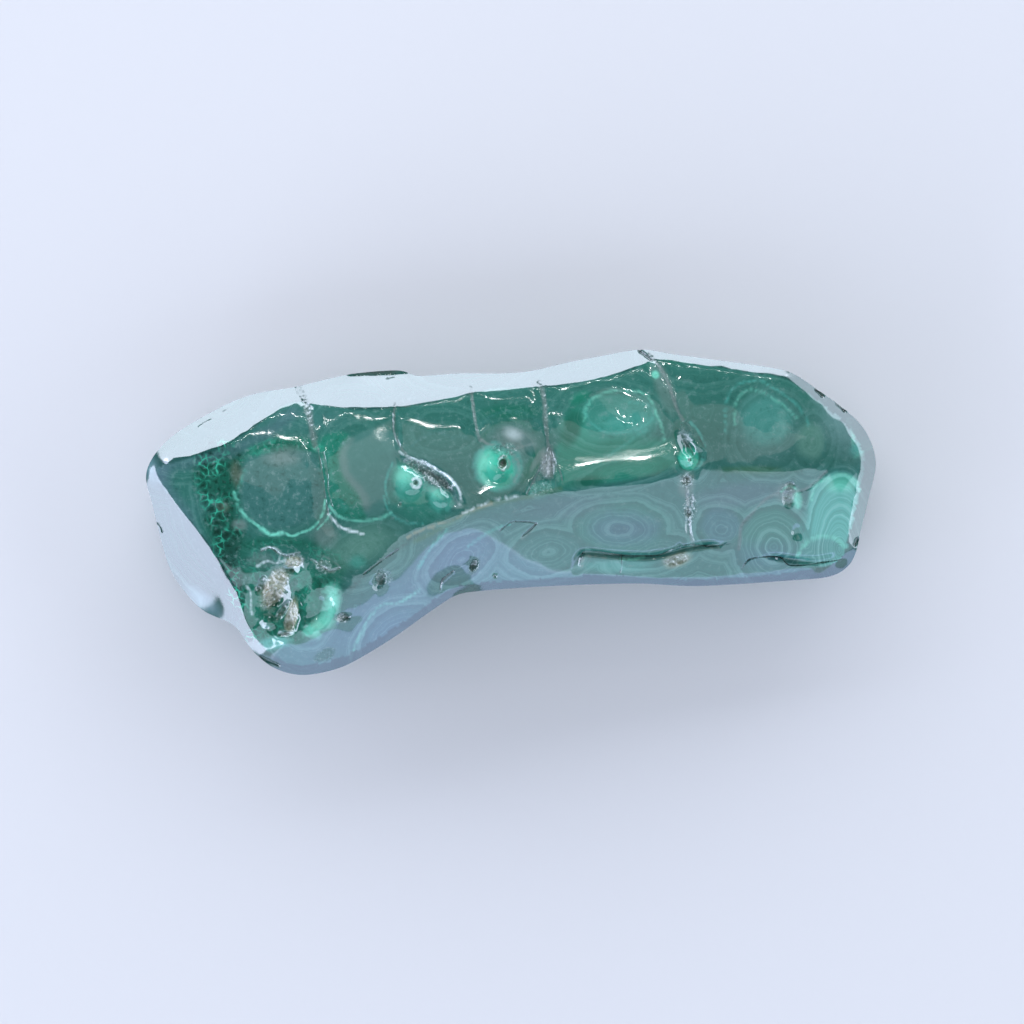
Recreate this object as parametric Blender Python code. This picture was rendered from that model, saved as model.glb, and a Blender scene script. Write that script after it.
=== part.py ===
"""A hand-sized piece of malachite, ground and polished all over into a bent, faceted freeform.

The stone is one solid. Its top is a membrane stretched over the edges that the grinding left,
with the dishes, pits, knobs and seams of the growth pressed into it. Its flank rounds under to
a flat ground face that it lies on. Lengths below are in millimetres, and +X runs along the stone.
"""

import math

import bmesh
import bpy
import numpy as np
from mathutils import Vector
from mathutils.geometry import delaunay_2d_cdt

MM = 0.001

# Driving dimensions
LENGTH = 120.0  # along X
WIDTH = 53.5  # along Y, heel to crest
HEIGHT = 24.0  # base to the crest of the polished top

# Mesh spacing
OUTLINE_STEP = 1.6
EDGE_STEP = 1.3  # along the ground edges
CREST_STEP = 1.6
TOP_STEP = 1.6  # between points of the polished top
DETAIL_STEP = 1.1  # along grooves and round dents
FLANK_RINGS = 6
CLEAR = 0.55  # that a point of a dent or groove keeps from points already there
TOP_CLEAR = 1.05  # that any other free point keeps from them
RAIL_CLEAR = 0.8  # and from the ground edges

# Form of the flank and of the faces
BASE_INSET = 0.34  # share of the way from the outline in to the spine
BASE_SMOOTHING = 14
FACE_BULGE = 0.016  # curvature that polishing leaves on each face, per millimetre
RELAX_ROUNDS = 2600
CREST_POLISH_ROUNDS = 24  # the crests are rubbed round, the ground edges hardly
EDGE_POLISH_ROUNDS = 3
POLISH = 0.35
RIM_BAND = 1.6  # width beside the outline in which dents and grooves run out
GROOVE_END = 2.5  # length over which a groove runs out

MALACHITE_GREEN = (0.02, 0.16, 0.10, 1.0)
MALACHITE_ROUGHNESS = 0.12

# The widest line of the stone seen from above, clockwise from the left corner: x, y, height
OUTLINE = [
    (-59.9, 6.6, 15.2), (-56.3, 11.9, 15.2), (-48.4, 16.8, 15.6), (-42.3, 19.3, 16.2),
    (-35.4, 20.5, 16.7), (-30.5, 21.7, 16.8), (-25.6, 22.7, 16.9), (-18.2, 23.2, 17.0),
    (-15.6, 22.3, 17.6), (-8.4, 22.7, 18.0), (-1.0, 22.7, 18.2), (3.9, 23.2, 18.2),
    (8.9, 24.4, 17.9), (14.6, 25.5, 17.6), (21.2, 26.6, 17.6), (26.1, 25.9, 18.7),
    (33.5, 24.9, 19.0), (40.9, 23.9, 18.4), (45.8, 22.9, 17.9), (50.7, 19.8, 17.2),
    (55.6, 16.2, 16.0), (58.5, 12.9, 14.9), (60.0, 8.3, 14.1), (59.2, 3.7, 13.2),
    (57.6, -2.9, 11.8), (56.8, -6.6, 10.6), (55.3, -9.1, 9.4), (52.3, -10.6, 9.2),
    (45.8, -11.2, 9.7), (31.0, -12.1, 10.7), (21.2, -11.7, 11.4), (11.3, -11.9, 11.4),
    (1.5, -12.4, 11.3), (-5.9, -13.0, 11.1), (-9.2, -13.7, 11.0), (-13.3, -16.3, 10.8),
    (-18.2, -19.8, 10.8), (-23.1, -22.9, 10.9), (-28.1, -25.5, 10.9), (-33.8, -26.7, 10.8),
    (-37.9, -26.0, 11.3), (-40.8, -24.3, 12.3), (-43.3, -21.7, 13.2), (-45.1, -18.9, 13.5),
    (-47.4, -17.6, 13.1), (-50.5, -16.2, 12.5), (-53.3, -13.5, 12.4), (-55.9, -9.6, 12.8),
    (-57.4, -5.0, 13.5), (-58.9, 1.2, 14.5),
]

# Where the ground side facets meet the polished top, round the stone the same way
SHOULDER = [
    (-58.5, 6.8, 16.4), (-53.2, 8.9, 18.2), (-48.8, 10.1, 19.3), (-44.5, 12.4, 19.9),
    (-40.4, 15.4, 19.5), (-36.4, 18.0, 18.6), (-31.6, 17.7, 19.7), (-27.2, 17.1, 20.8),
    (-19.8, 17.1, 21.5), (-14.9, 17.8, 21.2), (-8.4, 19.1, 20.7), (-1.8, 20.4, 20.1),
    (5.6, 20.6, 20.3), (13.0, 21.7, 20.2), (18.7, 23.2, 19.7), (22.6, 24.7, 19.3),
    (26.1, 25.0, 19.7), (33.5, 23.9, 20.0), (40.9, 22.8, 19.5), (45.2, 21.8, 19.0),
    (49.8, 18.8, 18.4), (54.3, 15.1, 17.3), (57.0, 11.8, 16.3), (58.0, 8.0, 15.7),
    (57.3, 3.7, 14.9), (55.8, -2.9, 13.5), (55.0, -6.3, 12.3), (53.6, -8.1, 11.4),
    (49.8, -9.3, 11.0), (44.1, -10.1, 11.2), (35.9, -10.8, 11.6), (27.7, -11.0, 12.1),
    (21.2, -10.6, 12.5), (14.6, -10.2, 12.8), (8.0, -10.6, 12.8), (1.5, -11.1, 12.6),
    (-5.4, -11.6, 12.4), (-9.7, -12.4, 12.2), (-13.3, -14.7, 12.0), (-18.2, -18.3, 12.0),
    (-23.1, -21.4, 12.1), (-28.4, -24.0, 12.2), (-33.8, -25.2, 12.2), (-37.4, -24.6, 12.5),
    (-39.9, -23.0, 13.4), (-42.0, -20.6, 14.4), (-43.7, -17.4, 15.1), (-44.8, -14.0, 15.9),
    (-46.2, -10.6, 16.8), (-48.1, -7.4, 17.4), (-50.2, -4.4, 17.6), (-53.0, -1.1, 17.5),
    (-56.0, 2.6, 16.8),
]

# The ridge between the dark upper face and the paler front face, which also rounds the heel
MID_RIDGE = [
    (-39.6, -20.2, 15.4), (-36.8, -21.4, 15.4), (-33.6, -21.3, 15.9), (-30.6, -19.2, 17.0),
    (-27.6, -15.0, 18.7), (-23.4, -10.4, 20.1), (-19.0, -5.5, 21.2), (-14.9, -3.0, 21.9),
    (-9.8, -1.4, 22.4), (-5.4, 0.6, 22.6), (-2.1, 1.7, 22.6), (2.1, 2.7, 22.3), (9.3, 3.2, 21.7),
    (15.3, 4.0, 21.4), (21.2, 4.5, 21.3), (25.7, 5.5, 21.2), (30.0, 7.0, 21.1), (35.1, 8.0, 20.9),
    (40.2, 6.6, 20.1), (45.8, 6.5, 19.0), (51.5, 7.6, 17.6), (55.0, 9.0, 16.6),
]

# The crests that the rounded parts of the top rise to
TOP_CREST = [
    (-52.0, 5.0, 19.3), (-43.0, 5.0, 21.6), (-34.0, 5.5, 22.8), (-24.0, 6.5, 23.6),
    (-12.0, 9.0, 24.0), (0.0, 11.5, 23.6), (12.0, 13.0, 23.2), (22.0, 14.0, 22.9),
    (32.0, 14.5, 22.5), (41.0, 13.5, 21.6), (48.0, 12.0, 20.2), (53.5, 10.5, 18.3),
]
HEEL_CREST = [(-36.0, -1.0, 22.2), (-35.8, -8.0, 20.9), (-35.4, -14.0, 18.9), (-35.2, -17.6, 17.4)]

# The line that the flat base is drawn in towards
SPINE = [(-44.0, 1.0), (-36.0, -3.0), (-24.0, 0.0), (-8.0, 5.0), (12.0, 7.0), (30.0, 7.0), (47.0, 4.5)]

# Round features: x, y, half length, half width, turn in degrees, depth (a knob is negative)
DENTS = {
    "oval_dish": (16.6, 16.5, 7.2, 4.4, -6.0, 0.75),
    "eye_dish": (-0.2, 9.8, 5.4, 5.0, 0.0, 0.95),
    "eye_knob": (-2.1, 7.4, 2.6, 2.6, 0.0, -0.75),
    "eye_pit": (-1.3, 8.2, 0.9, 0.8, 0.0, 0.7),
    "twin_knob_left": (-16.3, 4.6, 2.5, 2.4, 0.0, -0.45),
    "twin_knob_right": (-11.6, 2.2, 2.2, 1.8, -30.0, -0.35),
    "drop_knob": (29.0, 8.6, 1.6, 1.6, 0.0, -0.8),
    "heel_pocket": (-37.2, -14.2, 7.6, 5.6, 65.0, 1.3),
    "heel_hole": (-38.4, -13.8, 2.6, 1.8, 60.0, 1.3),
    "heel_hole_upper": (-35.7, -9.0, 1.7, 1.2, 20.0, 0.9),
    "heel_hole_lower": (-36.0, -18.0, 2.2, 1.3, 75.0, 1.1),
    "heel_knob": (-39.9, -18.0, 1.6, 1.4, 0.0, -0.7),
    "green_hollow": (-31.2, -16.2, 4.2, 3.0, 55.0, 1.1),
    "front_pit": (-26.8, -17.2, 1.2, 0.9, 30.0, 0.8),
    "ridge_pit": (-21.6, -11.4, 1.9, 1.2, 60.0, 0.7),
    "band_pit": (-6.2, -8.6, 1.0, 1.4, 0.0, 0.6),
    "lobe_pit": (47.0, -3.2, 1.6, 1.8, 0.0, 0.5),
    "right_lobe_dish": (43.0, 14.5, 6.5, 6.0, 0.0, 0.35),
    "left_lobe_dish": (-37.4, 3.7, 6.6, 6.6, 0.0, 0.3),
}
DENT_RINGS = (0.45, 0.8, 1.08)

# Grooves: the growth seams, the open cracks and the unpolished hollows: half width, depth, route
GROOVES = {
    "twin_hollow": (1.25, 1.2, [(-18.0, 8.4), (-15.4, 7.4), (-12.8, 6.3), (-10.6, 4.5), (-9.5, 2.6)]),
    "drop_hollow": (1.3, 1.0, [(27.9, 13.4), (28.6, 11.4), (29.4, 9.6), (29.3, 7.4)]),
    "back_hollow": (0.95, 1.3, [(-28.4, 21.3), (-24.0, 22.0), (-19.5, 22.2), (-17.0, 21.9)]),
    "left_seam": (0.9, 0.55, [(-34.4, 20.4), (-33.8, 18.0), (-32.6, 15.2), (-31.7, 11.0), (-31.0, 7.0),
                              (-30.2, 1.2), (-28.4, -2.4)]),
    "second_seam": (0.6, 0.3, [(-19.2, 18.0), (-18.7, 13.5), (-18.3, 10.0)]),
    "third_seam": (0.6, 0.35, [(-6.6, 20.1), (-5.9, 16.0), (-5.3, 12.0)]),
    "middle_seam": (0.8, 0.55, [(4.6, 21.2), (5.2, 18.0), (5.9, 14.4), (6.6, 9.4), (6.4, 5.6)]),
    "right_seam": (0.8, 0.55, [(22.8, 25.2), (24.4, 21.4), (26.4, 17.8), (27.8, 14.6)]),
    "front_seam": (0.7, 0.4, [(29.3, 5.2), (29.5, 1.6), (29.0, -1.8), (29.6, -5.0)]),
    "long_crack": (0.7, 0.9, [(10.8, -8.6), (11.9, -6.6), (17.9, -7.1), (23.6, -7.1), (29.4, -5.7),
                              (34.5, -5.2)]),
    "end_crack": (0.7, 0.9, [(42.4, -7.0), (46.0, -7.7), (50.5, -8.0), (54.0, -7.0)]),
    "notch_crack": (0.7, 0.8, [(-45.2, -18.2), (-46.0, -16.0), (-47.8, -13.6)]),
}


def smooth_curve(points, step, closed):
    """Points a step apart on a smooth curve through the given ones."""
    knots = np.array(points, float)
    count = len(knots)
    last = count if closed else count - 1
    dense = []
    for i in range(last):
        if closed:
            before, after, beyond = knots[i - 1], knots[(i + 1) % count], knots[(i + 2) % count]
        else:
            before, after, beyond = knots[max(i - 1, 0)], knots[i + 1], knots[min(i + 2, count - 1)]
        here = knots[i]
        for t in np.linspace(0.0, 1.0, 24, endpoint=False):
            dense.append(
                0.5 * (2 * here + (after - before) * t
                       + (2 * before - 5 * here + 4 * after - beyond) * t**2
                       + (3 * here - before - 3 * after + beyond) * t**3)
            )
    dense.append(knots[0] if closed else knots[-1])
    dense = np.array(dense)
    run = np.concatenate([[0.0], np.cumsum(np.linalg.norm(np.diff(dense[:, :2], axis=0), axis=1))])
    pieces = max(2, round(run[-1] / step))
    marks = np.linspace(0.0, run[-1], pieces + 1)
    even = np.stack([np.interp(marks, run, dense[:, axis]) for axis in range(dense.shape[1])], axis=1)
    return even[:-1] if closed else even


def distance_to_route(plan, route):
    """How far each plan point lies from a polyline."""
    nearest = np.full(len(plan), np.inf)
    for start, end in zip(route[:-1], route[1:]):
        along = end - start
        share = np.clip((plan - start) @ along / (along @ along), 0.0, 1.0)
        nearest = np.minimum(nearest, np.linalg.norm(plan - start - share[:, None] * along, axis=1))
    return nearest


def nearest_on_route(plan, route):
    """The nearest point of a polyline to each plan point."""
    best = np.zeros_like(plan)
    nearest = np.full(len(plan), np.inf)
    for start, end in zip(route[:-1], route[1:]):
        along = end - start
        share = np.clip((plan - start) @ along / (along @ along), 0.0, 1.0)
        foot = start + share[:, None] * along
        distance = np.linalg.norm(plan - foot, axis=1)
        closer = distance < nearest
        best[closer] = foot[closer]
        nearest[closer] = distance[closer]
    return best


def dent_share(plan, dent):
    """Distance from a dent's centre as a share of its radius, in the dent's own turned axes."""
    x, y, half_length, half_width, turn, _ = dent
    angle = math.radians(turn)
    offset = plan - (x, y)
    along = offset @ (math.cos(angle), math.sin(angle))
    across = offset @ (-math.sin(angle), math.cos(angle))
    return np.hypot(along / half_length, across / half_width)


def dent_points(dent):
    """The centre of a dent and rings of points out to its rim."""
    x, y, half_length, half_width, turn, _ = dent
    angle = math.radians(turn)
    found = [(x, y)]
    for ring in DENT_RINGS:
        around = 2 * math.pi * ring * (half_length + half_width) / 2
        count = max(6, min(24, round(around / DETAIL_STEP)))
        for k in range(count):
            a = 2 * math.pi * k / count
            u, v = ring * half_length * math.cos(a), ring * half_width * math.sin(a)
            found.append((x + u * math.cos(angle) - v * math.sin(angle),
                          y + u * math.sin(angle) + v * math.cos(angle)))
    return found


def groove_points(half_width, route):
    """Points along a groove's floor, along both of its lips and along the sound stone beside them."""
    line = smooth_curve(route, DETAIL_STEP, closed=False)
    heading = np.gradient(line, axis=0)
    heading /= np.linalg.norm(heading, axis=1)[:, None]
    side = np.stack([-heading[:, 1], heading[:, 0]], axis=1) * half_width
    return np.concatenate([line, line + side, line - side, line + 2 * side, line - 2 * side])


def groove_depths(plan, half_width, depth, route):
    """How deep a groove is at each plan point: a round floor that runs out at both ends."""
    line = smooth_curve(route, 0.5, closed=False)
    run = np.arange(len(line)) * 0.5
    fade = np.clip(np.minimum(run, run[-1] - run) / GROOVE_END + 0.25, 0.0, 1.0)
    gaps = np.hypot(plan[:, :1] - line[:, 0], plan[:, 1:] - line[:, 1])
    nearest = gaps.argmin(axis=1)
    share = np.clip(gaps.min(axis=1) / half_width, 0.0, 1.0)
    return depth * fade[nearest] * (1 - share**2)


def relief(plan, outline):
    """How much the dents and grooves raise or lower the top at each plan point."""
    change = np.zeros(len(plan))
    for dent in DENTS.values():
        share = np.clip(dent_share(plan, dent), 0.0, 1.0)
        change -= dent[5] * (1 - share**2) ** 2
    for half_width, depth, route in GROOVES.values():
        change -= groove_depths(plan, half_width, depth, route)
    rim = np.concatenate([outline, outline[:1]])[:, :2]
    return change * np.clip(distance_to_route(plan, rim) / RIM_BAND, 0.0, 1.0)


def hex_grid(step):
    """A plan grid of triangles over the whole stone."""
    rows = np.arange(-WIDTH / 2, WIDTH / 2, step * math.sqrt(3) / 2)
    columns = np.arange(-LENGTH / 2, LENGTH / 2, step)
    return np.array([(x + (step / 2 if n % 2 else 0.0), y) for n, y in enumerate(rows) for x in columns])


def apart_from(candidates, taken, gap):
    """The candidates that keep at least the gap from every point taken so far, and from each other."""
    kept = list(np.asarray(taken))
    added = []
    for point in np.asarray(candidates):
        if np.min(np.hypot(*(np.array(kept) - point).T)) > gap:
            kept.append(point)
            added.append(point)
    return np.array(added).reshape(-1, 2)


def triangulated_top(outline):
    """Plan points, triangles, given heights and which are hard, with the hard rails kept as mesh edges."""
    rails = [
        (outline, True, True),
        (smooth_curve(SHOULDER, EDGE_STEP, closed=True), True, True),
        (smooth_curve(MID_RIDGE, EDGE_STEP, closed=False), False, True),
        (smooth_curve(TOP_CREST, CREST_STEP, closed=False), False, False),
        (smooth_curve(HEEL_CREST, CREST_STEP, closed=False), False, False),
    ]
    special = [p for dent in DENTS.values() for p in dent_points(dent)]
    for half_width, _, route in GROOVES.values():
        special += [tuple(p) for p in groove_points(half_width, route)]
    special, grid = np.array(special), hex_grid(TOP_STEP)
    plan, heights, stiff, edges = [], [], [], []
    for points, closed, hard in rails:
        first = len(plan)
        plan += [tuple(p[:2]) for p in points]
        heights += [p[2] for p in points]
        stiff += [hard] * len(points)
        if hard:
            edges += [(first + i, first + i + 1) for i in range(len(points) - 1)]
            line = np.concatenate([points, points[:1]])[:, :2] if closed else points[:, :2]
            special = special[distance_to_route(special, line) > CLEAR]
            grid = grid[distance_to_route(grid, line) > RAIL_CLEAR]
        if hard and closed:
            edges.append((len(plan) - 1, first))
    fixed = len(plan)
    fine = apart_from(special, plan, CLEAR)
    coarse = apart_from(grid, np.concatenate([plan, fine]), TOP_CLEAR)
    every = np.concatenate([plan, fine, coarse])
    verts, _, faces, origins, _, _ = delaunay_2d_cdt(
        [Vector(p) for p in every.tolist()], edges, [], 1, 1e-4
    )
    known = np.full(len(verts), np.nan)
    hard = np.zeros(len(verts), bool)
    for index, sources in enumerate(origins):
        rail = [s for s in sources if s < fixed]
        if rail:
            known[index] = heights[rail[0]]
            hard[index] = stiff[rail[0]]
    at = {source: index for index, sources in enumerate(origins) for source in sources}
    used, faces = np.unique(np.array(faces), return_inverse=True)
    plan = np.array([tuple(verts[i]) for i in used])
    rim = np.searchsorted(used, [at[i] for i in range(len(outline))])
    return plan, faces.reshape(-1, 3), known[used], hard[used], rim


def stretched_heights(plan, faces, known, hard, rim):
    """Heights of a membrane held at the known ones, pushed up a little between them and polished."""
    weight_ends, weights = [], []
    area = np.zeros(len(plan))
    for k in range(3):
        a, b, c = faces[:, k], faces[:, (k + 1) % 3], faces[:, (k + 2) % 3]
        u, v = plan[a] - plan[c], plan[b] - plan[c]
        cross = u[:, 0] * v[:, 1] - u[:, 1] * v[:, 0]
        cotangent = np.maximum((u * v).sum(1) / np.maximum(np.abs(cross), 1e-6), 1e-3) / 2
        weight_ends += [(a, b), (b, a)]
        weights += [cotangent, cotangent]
        area += np.bincount(a, np.abs(cross) / 6, len(plan))
    here = np.concatenate([ends[0] for ends in weight_ends])
    there = np.concatenate([ends[1] for ends in weight_ends])
    weights = np.concatenate(weights)
    total = np.bincount(here, weights, len(plan))
    free = np.isnan(known)
    z = np.where(free, np.nanmean(known), known)
    for _ in range(RELAX_ROUNDS):
        mean = (np.bincount(here, weights * z[there], len(plan)) + FACE_BULGE * area) / total
        z = np.where(free, mean, known)
    inside = np.full(len(plan), True)
    inside[rim] = False
    for rounds, moving in ((CREST_POLISH_ROUNDS, ~hard), (EDGE_POLISH_ROUNDS, inside)):
        for _ in range(rounds):
            mean = (np.bincount(here, weights * z[there], len(plan)) + FACE_BULGE * area) / total
            z = np.where(moving, z + POLISH * (mean - z), z)
    return z


def base_loop(outline):
    """The edge of the flat base, drawn in from the outline towards the spine and smoothed."""
    plan = outline[:, :2]
    spine = np.array(SPINE)
    loop = plan + BASE_INSET * (nearest_on_route(plan, spine) - plan)
    for _ in range(BASE_SMOOTHING):
        loop = (np.roll(loop, 1, axis=0) + loop + np.roll(loop, -1, axis=0)) / 3
    return loop


def add_flank(bm, rim, base):
    """Rings of faces that round under from the outline to the flat base, and the base itself."""
    upper = rim
    for ring in range(1, FLANK_RINGS + 1):
        angle = math.pi / 2 * ring / FLANK_RINGS
        lower = []
        for vert, foot in zip(rim, base):
            x = vert.co.x + (foot[0] - vert.co.x) * (1 - math.cos(angle))
            y = vert.co.y + (foot[1] - vert.co.y) * (1 - math.cos(angle))
            lower.append(bm.verts.new((x, y, vert.co.z * (1 - math.sin(angle)))))
        for i in range(len(rim)):
            j = (i + 1) % len(rim)
            bm.faces.new((upper[i], upper[j], lower[j], lower[i]))
        upper = lower
    bm.faces.new(upper)


def build_stone():
    """The whole stone as one closed mesh, centred on the origin and standing on z = 0."""
    outline = smooth_curve(OUTLINE, OUTLINE_STEP, closed=True)
    plan, faces, known, hard, rim = triangulated_top(outline)
    heights = stretched_heights(plan, faces, known, hard, rim) + relief(plan, outline)

    bm = bmesh.new()
    verts = [bm.verts.new((x, y, z)) for (x, y), z in zip(plan, heights)]
    for face in faces:
        bm.faces.new([verts[i] for i in face])
    add_flank(bm, [verts[i] for i in rim], base_loop(outline))
    bmesh.ops.recalc_face_normals(bm, faces=bm.faces)

    corners = np.array([v.co for v in bm.verts])
    low, high = corners.min(0), corners.max(0)
    middle = Vector(((low[0] + high[0]) / 2, (low[1] + high[1]) / 2, low[2]))
    bmesh.ops.translate(bm, verts=bm.verts, vec=-middle)
    size = high - low
    scale = Vector((LENGTH / size[0], WIDTH / size[1], HEIGHT / size[2])) * MM
    bmesh.ops.scale(bm, verts=bm.verts, vec=scale)

    mesh = bpy.data.meshes.new("malachite_stone")
    bm.to_mesh(mesh)
    bm.free()
    mesh.shade_smooth()
    mesh.polygons[len(mesh.polygons) - 1].use_smooth = False
    return mesh


def polished_malachite():
    """Dark green polished stone."""
    material = bpy.data.materials.new("polished_malachite")
    material.use_nodes = True
    surface = material.node_tree.nodes["Principled BSDF"]
    surface.inputs["Base Color"].default_value = MALACHITE_GREEN
    surface.inputs["Roughness"].default_value = MALACHITE_ROUGHNESS
    surface.inputs["Metallic"].default_value = 0.0
    return material


def main():
    for old in list(bpy.data.objects):
        bpy.data.objects.remove(old, do_unlink=True)
    mesh = build_stone()
    mesh.materials.append(polished_malachite())
    stone = bpy.data.objects.new("malachite_stone", mesh)
    bpy.context.scene.collection.objects.link(stone)


main()
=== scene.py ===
import math

import bmesh
import bpy
import numpy as np
from mathutils import Matrix, Vector, noise


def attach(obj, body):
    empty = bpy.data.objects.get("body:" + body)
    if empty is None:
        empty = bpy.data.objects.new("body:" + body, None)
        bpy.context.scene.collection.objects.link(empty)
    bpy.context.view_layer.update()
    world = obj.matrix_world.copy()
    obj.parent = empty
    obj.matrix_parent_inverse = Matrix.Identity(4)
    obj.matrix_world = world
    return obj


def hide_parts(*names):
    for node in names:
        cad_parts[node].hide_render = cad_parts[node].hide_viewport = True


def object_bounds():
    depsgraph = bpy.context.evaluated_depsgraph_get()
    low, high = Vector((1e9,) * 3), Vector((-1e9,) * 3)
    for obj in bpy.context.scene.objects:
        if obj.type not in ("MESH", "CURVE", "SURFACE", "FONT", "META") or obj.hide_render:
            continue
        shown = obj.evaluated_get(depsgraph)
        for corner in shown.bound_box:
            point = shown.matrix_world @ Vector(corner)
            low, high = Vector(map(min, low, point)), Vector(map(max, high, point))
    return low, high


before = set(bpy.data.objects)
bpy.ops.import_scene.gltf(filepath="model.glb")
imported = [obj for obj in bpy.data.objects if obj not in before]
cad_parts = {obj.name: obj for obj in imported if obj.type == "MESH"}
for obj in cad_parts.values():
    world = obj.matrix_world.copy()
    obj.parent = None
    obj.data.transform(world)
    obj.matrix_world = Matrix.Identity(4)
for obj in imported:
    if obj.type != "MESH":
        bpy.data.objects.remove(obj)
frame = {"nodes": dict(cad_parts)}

cadBox = [list(corner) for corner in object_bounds()]
print("frame loaded:", ", ".join(frame["nodes"]))

mm = 0.001
photo = {"centreX": 511.0, "centreY": 512.5, "mmPerPixel": 0.1644, "side": 1024}


def fromPhoto(spots):
    # places in the photograph, as millimetres on the stone seen from above
    offset = np.asarray(spots, float) - (photo["centreX"], photo["centreY"])
    return offset * (photo["mmPerPixel"], -photo["mmPerPixel"])


def sizeFromPhoto(size):
    return np.array(size) * photo["mmPerPixel"]


def ease(low, high, value):
    share = np.clip((value - low) / (high - low), 0.0, 1.0)
    return share * share * (3 - 2 * share)


def softLine(route, step=0.2, closed=False):
    # a smooth curve through a few points, as many short steps
    knots = np.array(route, float)
    count = len(knots)
    pieces = []
    for i in range(count if closed else count - 1):
        a = knots[i - 1] if closed else knots[max(i - 1, 0)]
        b = knots[i]
        c = knots[(i + 1) % count]
        d = knots[(i + 2) % count] if closed else knots[min(i + 2, count - 1)]
        t = np.linspace(0, 1, max(2, int(np.linalg.norm(c - b) / step)), endpoint=False)[:, None]
        pieces.append(0.5 * (2 * b + (c - a) * t + (2 * a - 5 * b + 4 * c - d) * t**2
                             + (3 * b - a - 3 * c + d) * t**3))
    if not closed:
        pieces.append(knots[-1:])
    return np.concatenate(pieces)


def gapTo(places, line):
    # how far each place is from a line, and how far along it the nearest point is, from 0 to 1
    gap = np.full(len(places), 99.0)
    along = np.zeros(len(places))
    low, high = line.min(0) - 4, line.max(0) + 4
    near = np.nonzero(((places > low) & (places < high)).all(1))[0]
    for start in range(0, len(near), 4000):
        part = near[start:start + 4000]
        reach = np.linalg.norm(places[part, None] - line[None], axis=2)
        best = reach.argmin(1)
        gap[part] = reach[np.arange(len(part)), best]
        along[part] = best / max(1, len(line) - 1)
    return gap, along


def ovalShare(places, at, size, turn):
    # distance from an oval's centre as a share of its radius
    angle = math.radians(turn)
    offset = places - at
    along = offset @ (math.cos(angle), math.sin(angle))
    across = offset @ (-math.sin(angle), math.cos(angle))
    return np.hypot(along / size[0], across / size[1])


def nearShare(places, line, reach):
    # 1 beside a line, fading to 0 between two distances from it
    return 1 - ease(*reach, gapTo(places, line)[0])


def grain(places, size, shift=0.0):
    # smooth random values from about -1 to 1, with lumps of a given size in millimetres
    return np.array([noise.noise((x / size + shift, y / size, z / size)) for x, y, z in places])


# The skin starts as a merged copy of the solid, cut finer everywhere and finest along the open marks.
# Lengths are millimetres. The facing values are the upward share of a normal.
skin = {"name": "malachiteSkin", "weld": 1e-6, "flat": 1e-5, "edgeMark": 0.35, "upperPart": 7.0, "crest": 8.5,
        "upFacing": 0.1, "wallFacing": 0.02, "topFacing": 0.25, "fineReach": 0.6, "finestReach": 0.2,
        "pitReach": 1.5}
# Rounds of smoothing, how far each push goes, and from and to what distance of a line a stretch fades
polish = {"rounds": 46, "pushes": (0.5, -0.52), "pull": (0.5,), "facetRounds": 160, "wornRounds": 18,
          "seamRounds": 120, "edgeRounds": 3, "edgePull": (0.35,), "wornReach": (0.6, 2.4),
          "seamReach": (1.1, 2.4), "fullyWorn": 0.9}
# Stretches of the shoulder that are worn round instead of ground to an edge, in millimetres
wornShoulder = {"right": (26.0, 61.0), "leftTip": (-61.0, -57.3)}
# The hollow in the back facet that stays as the solid has it
backHollow = {"at": (372, 371.5), "size": (48, 4.5)}
# Seams whose sides are polished down almost flat: one route of its own, and seams named below
softSeams = {
    "route": [(297, 384), (305, 398), (312, 425), (322, 452), (327, 474), (330, 505), (333, 525)],
    "named": ("third", "middle", "right"),
}

# The shoulder edge round the top, and the ridge across it, in millimetres
groundEdges = {
    "shoulder": [
        (-58.5, 6.8), (-53.2, 8.9), (-48.8, 10.1), (-44.5, 12.4), (-40.4, 15.4), (-36.4, 18.0),
        (-31.6, 17.7), (-27.2, 17.1), (-19.8, 17.1), (-14.9, 17.8), (-8.4, 19.1), (-1.8, 20.4),
        (5.6, 20.6), (13.0, 21.7), (18.7, 23.2), (22.6, 24.7), (26.1, 25.0), (33.5, 23.9),
        (40.9, 22.8), (45.2, 21.8), (49.8, 18.8), (54.3, 15.1), (57.0, 11.8), (58.0, 8.0),
        (57.3, 3.7), (55.8, -2.9), (55.0, -6.3), (53.6, -8.1), (49.8, -9.3), (44.1, -10.1),
        (35.9, -10.8), (27.7, -11.0), (21.2, -10.6), (14.6, -10.2), (8.0, -10.6), (1.5, -11.1),
        (-5.4, -11.6), (-9.7, -12.4), (-13.3, -14.7), (-18.2, -18.3), (-23.1, -21.4), (-28.4, -24.0),
        (-33.8, -25.2), (-37.4, -24.6), (-39.9, -23.0), (-42.0, -20.6), (-43.7, -17.4), (-44.8, -14.0),
        (-46.2, -10.6), (-48.1, -7.4), (-50.2, -4.4), (-53.0, -1.1), (-56.0, 2.6),
    ],
    "ridge": [
        (-39.6, -20.2), (-36.8, -21.4), (-33.6, -21.3), (-30.6, -19.2), (-27.6, -15.0), (-23.4, -10.4),
        (-19.0, -5.5), (-14.9, -3.0), (-9.8, -1.4), (-5.4, 0.6), (-2.1, 1.7), (2.1, 2.7), (9.3, 3.2),
        (15.3, 4.0), (21.2, 4.5), (25.7, 5.5), (30.0, 7.0), (35.1, 8.0), (40.2, 6.6), (45.8, 6.5),
        (51.5, 7.6), (55.0, 9.0),
    ],
}

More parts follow.
